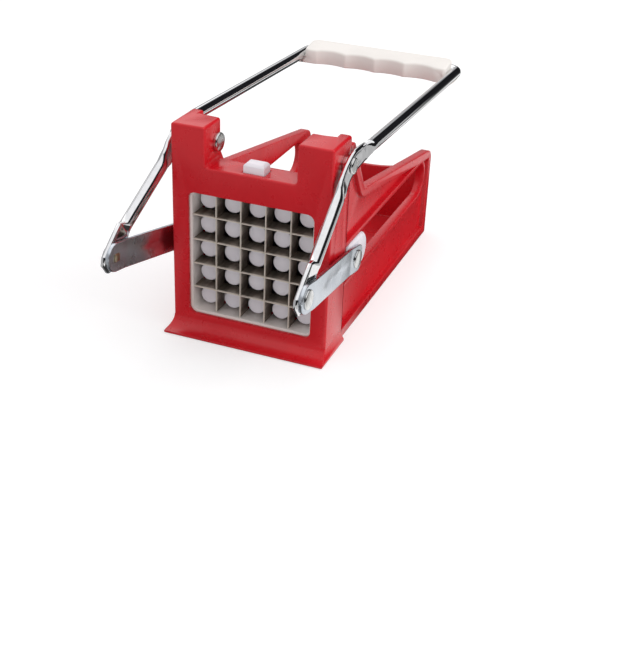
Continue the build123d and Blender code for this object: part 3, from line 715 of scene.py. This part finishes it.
for name, side in sides.items():
    # bolt through the ear: a head on each end
    shank = fasteners["boltShank"]
    inner = fasteners["earFace"]
    outer = handleTube["flatX"] + handleTube["flatThick"] + fasteners["boltGap"]
    innerHead = dome(inner, -1, *fasteners["earHead"])
    outerHead = dome(outer, 1, *fasteners["boltHead"])
    profile = innerHead[::-1] + [(inner, shank), (outer, shank)] + outerHead
    turned("pivot_bolt_" + name, "base", side, pivot, profile)

    # rivet through the arm's paddle and the link
    shank = fasteners["rivetShank"]
    paddle = (handleTube["crankX"][name], handleTube["flatThick"])
    plate = (link["crankX"][name], link["thick"])
    inner = min(x - thick for x, thick in (paddle, plate))
    outer = max(x + thick for x, thick in (paddle, plate))
    profile = [(inner, 0), (inner, shank), (outer, shank)] + dome(outer, 1, *fasteners["crankHead"])
    turned("crank_rivet_" + name, "handle", side, cranks[name], profile)
    peenedTail(name, side, inner)

    # rivet through the link into the slider
    inner = link["sliderX"] - fasteners["sliderSunk"]
    outer = link["sliderX"] + link["thick"]
    profile = [(inner, 0), (inner, shank), (outer, shank)] + dome(outer, 1, *fasteners["sliderHead"])
    turned("slider_rivet_" + name, "link_body_" + name, side, sliders[name], profile)
print("fasteners turned")


# nodes that keep their own shape, by the start of their names
nodeFinishes = {
    "lock_screw": brightSteel,
    "pivot_spacer": brightSteel,
    "vertical_blade": bladeSteel,
    "horizontal_blade": bladeSteel,
}
for name, node in nodes.items():
    for start, material in nodeFinishes.items():
        if name.startswith(start):
            node.data.materials.clear()
            node.data.materials.append(material)
print("nodes finished")


# lamps in metres, aimed at the middle of the cutter
lampAim = Vector((0, 0.08, 0.05))
lamps = {
    # place, size and watts
    "keyRight": ((0.9, 0.1, 0.55), (0.6, 0.8), 4.6),
    "fillFront": ((0.1, -1.0, 0.1), (0.5, 0.5), 1.1),
    "top": ((-0.1, 0.35, 1.0), (0.9, 0.7), 2.2),
}
for name, (place, size, watts) in lamps.items():
    lamp = bpy.data.lights.new(name, "AREA")
    lamp.shape = "RECTANGLE"
    lamp.size, lamp.size_y = size
    lamp.energy = watts
    holder = bpy.data.objects.new(name, lamp)
    bpy.context.scene.collection.objects.link(holder)
    holder.location = place
    holder.rotation_euler = (lampAim - Vector(place)).to_track_quat("-Z", "Y").to_euler()
    holder.visible_glossy = False


# in the gloss it is dark round the horizon, bright overhead and low behind, grey to the left
surround = {
    "light": (0.75, 0.75, 0.76, 1),
    "backdrop": (1, 1, 1, 1),
    "horizon": (0.012, 0.012, 0.014, 1),
    "overhead": (1.0, 1.0, 1.01, 1),
    "left": (1.0, 1.0, 1.02, 1),
    "behind": (1.35, 1.35, 1.35, 1),
    "leftShare": 0.42,
    # how far along each way a tone starts and is full
    "overheadUp": (0.56, 0.66),
    "leftWest": (0.14, 0.20),
    "leftUp": (-0.1, 0.0),
    "behindWest": (0.26, 0.34),
    "behindUp": (0.20, 0.30),
    "behindNorth": (0.2, 0.4),
}


def studioWorld():
    world = bpy.data.worlds.new("studio")
    bpy.context.scene.world = world
    world.use_nodes = True
    sky = Finish(world.node_tree)
    look = sky.node("TexCoord", output="Generated")
    east, north, up = (sky.node("SeparateXYZ", None, {0: look}, output=axis) for axis in "XYZ")
    west = 0 - east
    overhead = up.ramp(*surround["overheadUp"])
    left = west.ramp(*surround["leftWest"]) * up.ramp(*surround["leftUp"]) * surround["leftShare"]
    behind = west.ramp(*surround["behindWest"]) * up.ramp(*surround["behindUp"])
    behind = behind * north.ramp(*surround["behindNorth"])
    mirrorTone = sky.blend(overhead, surround["horizon"], surround["overhead"])
    mirrorTone = sky.blend(left, mirrorTone, surround["left"])
    mirrorTone = sky.blend(behind, mirrorTone, surround["behind"])
    glossy = sky.node("LightPath", output="Is Glossy Ray")
    seen = sky.node("LightPath", output="Is Camera Ray")
    tone = sky.blend(glossy, surround["light"], mirrorTone)
    tone = sky.blend(seen, tone, surround["backdrop"])
    background = world.node_tree.nodes["Background"]
    world.node_tree.links.new(tone.socket, background.inputs["Color"])
    background.inputs["Strength"].default_value = 1.0


studioWorld()

floorLook = {
    "size": 3.0,
    "below": 0.2 * mm,
    "paint": (0.62, 0.62, 0.62, 1),
    "rough": 0.7,
    "glowNear": (0.45, 0.45, 0.45, 1),
    "glowFar": (0.60, 0.60, 0.60, 1),
    "glowReach": (0.3, 1.6),
    "unlit": (0.04, 0.04, 0.04, 1),
    "card": (1.0, 1.0, 1.0, 1),
    # the cards' edges in metres: a slanted one by the front post, one off to the right, a grey one left
    "postCorner": 0.046,
    "postSlope": 2.66,
    "postNorth": (0.03, 0.07),
    "postEast": (0.03, 0.05),
    "postDims": (0.12, 0.135),
    "postDimmed": 0.5,
    "rightFrom": (0.055, 0.07),
    "rightTo": (0.135, 0.15),
    "rightNorth": (0.29, 0.31),
    "leftTo": (-0.12, -0.06),
    "leftShare": 0.45,
}


def mirroredCards(paint):
    # what the gloss sees on the floor
    east, north = paint.along("X"), paint.along("Y")
    slant = north - floorLook["postSlope"] * (east - floorLook["postCorner"])
    nearPost = (1 - slant.ramp(*floorLook["postNorth"])) * east.ramp(*floorLook["postEast"])
    nearPost = nearPost * (1 - floorLook["postDimmed"] * east.ramp(*floorLook["postDims"]))
    farRight = east.ramp(*floorLook["rightFrom"]) * (1 - east.ramp(*floorLook["rightTo"]))
    farRight = farRight * north.ramp(*floorLook["rightNorth"])
    farLeft = 1 - east.ramp(*floorLook["leftTo"])
    cards = nearPost + farRight * (1 - nearPost) + floorLook["leftShare"] * farLeft
    tint = paint.blend(cards, floorLook["unlit"], floorLook["card"])
    return paint.node("Emission", None, {"Color": tint, "Strength": 1.0})


def studioFloor():
    mesh = bpy.data.meshes.new("floor")
    bm = bmesh.new()
    bmesh.ops.create_grid(bm, x_segments=1, y_segments=1, size=floorLook["size"])
    bm.to_mesh(mesh)
    bm.free()
    floor = bpy.data.objects.new("floor", mesh)
    bpy.context.scene.collection.objects.link(floor)
    floor.location.z = -floorLook["below"]
    constants = {
        "Base Color": floorLook["paint"],
        "Roughness": floorLook["rough"],
        "Specular IOR Level": 0.0,
        "Emission Strength": 1.0,
    }
    material, paint, shader = newFinish("floorPaint", constants)
    # the camera sees the floor nearly white, with the shadow left in it
    reach = paint.node("VectorMath", {"operation": "LENGTH"}, {0: paint.place()}, output="Value")
    glow = paint.blend(reach.ramp(*floorLook["glowReach"]), floorLook["glowNear"], floorLook["glowFar"])
    direct = paint.node("LightPath", output="Is Camera Ray")
    connect(paint, shader, Emission_Color=paint.blend(direct, (0, 0, 0, 1), glow))
    mirrored = paint.node("LightPath", output="Is Glossy Ray")
    plain = Wire(paint, shader.outputs[0])
    mixed = paint.node("MixShader", None, {0: mirrored, 1: plain, 2: mirroredCards(paint)})
    paint.tree.links.new(mixed.socket, paint.tree.nodes["Material Output"].inputs["Surface"])
    mesh.materials.append(material)


studioFloor()

shot = {
    "yaw": radians(20.63),
    "pitch": radians(29.21),
    "roll": radians(2.40),
    "aim": Vector((15.64, 55.2, -14.72)) * mm,
    "distance": 700.028 * mm,
    "focalPixels": 1164.6,
    "imagePixels": 619,
    "sensorWidth": 36,
}


def studioCamera():
    yaw, pitch, roll = shot["yaw"], shot["pitch"], shot["roll"]
    camera = bpy.data.objects.new("camera", bpy.data.cameras.new("camera"))
    bpy.context.scene.collection.objects.link(camera)
    camera.data.sensor_fit = "HORIZONTAL"
    camera.data.sensor_width = shot["sensorWidth"]
    camera.data.lens = shot["focalPixels"] / shot["imagePixels"] * shot["sensorWidth"]
    forward = Vector((-sin(yaw) * cos(pitch), cos(yaw) * cos(pitch), -sin(pitch)))
    level = Vector((cos(yaw), sin(yaw), 0))
    upright = level.cross(forward)
    right = level * cos(roll) + upright * sin(roll)
    above = upright * cos(roll) - level * sin(roll)
    turn = Matrix((right, above, -forward)).transposed().to_4x4()
    camera.matrix_world = Matrix.Translation(shot["aim"] - forward * shot["distance"]) @ turn
    bpy.context.scene.camera = camera
    bpy.context.scene.view_settings.view_transform = "Standard"


studioCamera()
print("studio ready")
